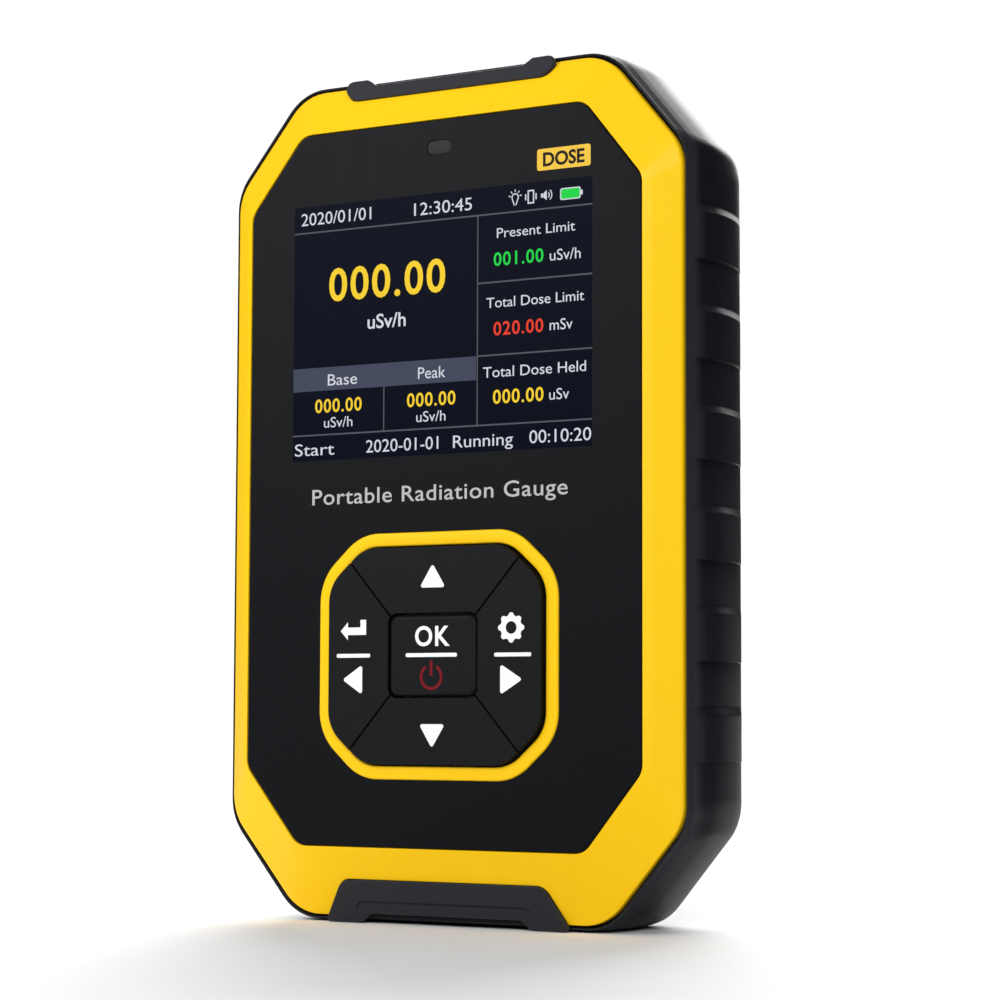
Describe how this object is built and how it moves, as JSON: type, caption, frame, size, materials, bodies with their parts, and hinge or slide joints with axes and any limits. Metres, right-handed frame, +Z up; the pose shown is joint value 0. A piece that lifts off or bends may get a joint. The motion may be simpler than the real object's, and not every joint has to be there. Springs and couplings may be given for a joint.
{
  "type": "handheld geiger counter",
  "caption": "Handheld radiation detector: yellow octagonal face with display and five-key pad, black ribbed rear case, with tube, battery and board inside.",
  "frame": {"origin": "centre of the bounding box at the base the counter stands on", "axes": "+Z up the face, -Y out of the display and keys, +X to the reader's right"},
  "size_m": [0.078, 0.027, 0.12],
  "materials": {
    "yellow_shell": "satin moulded yellow ABS",
    "black_shell": "satin black, slightly blue",
    "soft_black": "soft-touch dark grey",
    "panel_black": "satin black printed sheet",
    "key_black": "fine satin black",
    "seal_rubber": "matt",
    "smoked_clear": "smoked translucent",
    "led": "milky",
    "display": "dark display",
    "steel": "plated",
    "brass": "plain",
    "flex_film": "amber film",
    "board": "green solder mask",
    "chip": "black resin",
    "nylon": "natural nylon",
    "cell": "foil pouch",
    "wire_red": "silicone insulation",
    "glass": "clear",
    "label": "printed film"
  },
  "bodies": {
    "housing": {"front_case": "yellow_shell", "rear_case": "black_shell", "top_trim": "soft_black", "bottom_trim": "soft_black", "case_seal": "seal_rubber", "front_panel": "panel_black", "alarm_light_pipe": "smoked_clear", "alarm_led": "led", "lcd_panel": "display", "lcd_backlight": "steel", "lcd_flex": "flex_film", "keypad_membrane": "seal_rubber", "main_pcb": "board", "mcu_chip": "chip", "hv_transformer": "flex_film", "hv_capacitor": "chip", "buzzer": "chip", "battery_connector": "nylon", "battery_cell": "cell", "battery_foam_pad": "seal_rubber", "battery_lead_red": "wire_red", "battery_lead_black": "chip", "gm_tube_glass": "glass", "gm_tube_cathode": "steel", "gm_anode_wire": "steel", "gm_tube_base": "brass", "tube_clip_lower": "brass", "tube_clip_upper": "brass", "vibration_motor_can": "steel", "motor_cradle": "seal_rubber", "usb_c_shell": "steel", "usb_c_tongue": "chip", "rear_label": "label", "switch_base_up": "steel", "switch_base_down": "steel", "switch_base_left": "steel", "switch_base_right": "steel", "switch_base_ok": "steel", "case_screw_1": "steel", "pcb_screw_1": "steel", "case_screw_2": "steel", "pcb_screw_2": "steel", "case_screw_3": "steel", "pcb_screw_3": "steel", "case_screw_4": "steel", "pcb_screw_4": "steel"},
    "up_button": {"key_up": "key_black", "switch_plunger_up": "chip"},
    "down_button": {"key_down": "key_black", "switch_plunger_down": "chip"},
    "left_button": {"key_left": "key_black", "switch_plunger_left": "chip"},
    "right_button": {"key_right": "key_black", "switch_plunger_right": "chip"},
    "ok_button": {"key_ok": "key_black", "switch_plunger_ok": "chip"},
    "motor_rotor": {"vibration_motor_weight": "brass"}
  },
  "joints": [
    {"name": "up_press", "type": "slide", "parent": "housing", "child": "up_button", "axis": [0, 1, 0], "range_m": [0, 0.0005], "stiffness_N_per_m": 2500},
    {"name": "down_press", "type": "slide", "parent": "housing", "child": "down_button", "axis": [0, 1, 0], "range_m": [0, 0.0005], "stiffness_N_per_m": 2500},
    {"name": "left_press", "type": "slide", "parent": "housing", "child": "left_button", "axis": [0, 1, 0], "range_m": [0, 0.0005], "stiffness_N_per_m": 2500},
    {"name": "right_press", "type": "slide", "parent": "housing", "child": "right_button", "axis": [0, 1, 0], "range_m": [0, 0.0005], "stiffness_N_per_m": 2500},
    {"name": "ok_press", "type": "slide", "parent": "housing", "child": "ok_button", "axis": [0, 1, 0], "range_m": [0, 0.0005], "stiffness_N_per_m": 2500},
    {"name": "vibration_spin", "type": "hinge", "parent": "housing", "child": "motor_rotor", "pos_m": [0.009, -0.0003, 0.105], "axis": [1, 0, 0], "continuous": true}
  ]
}
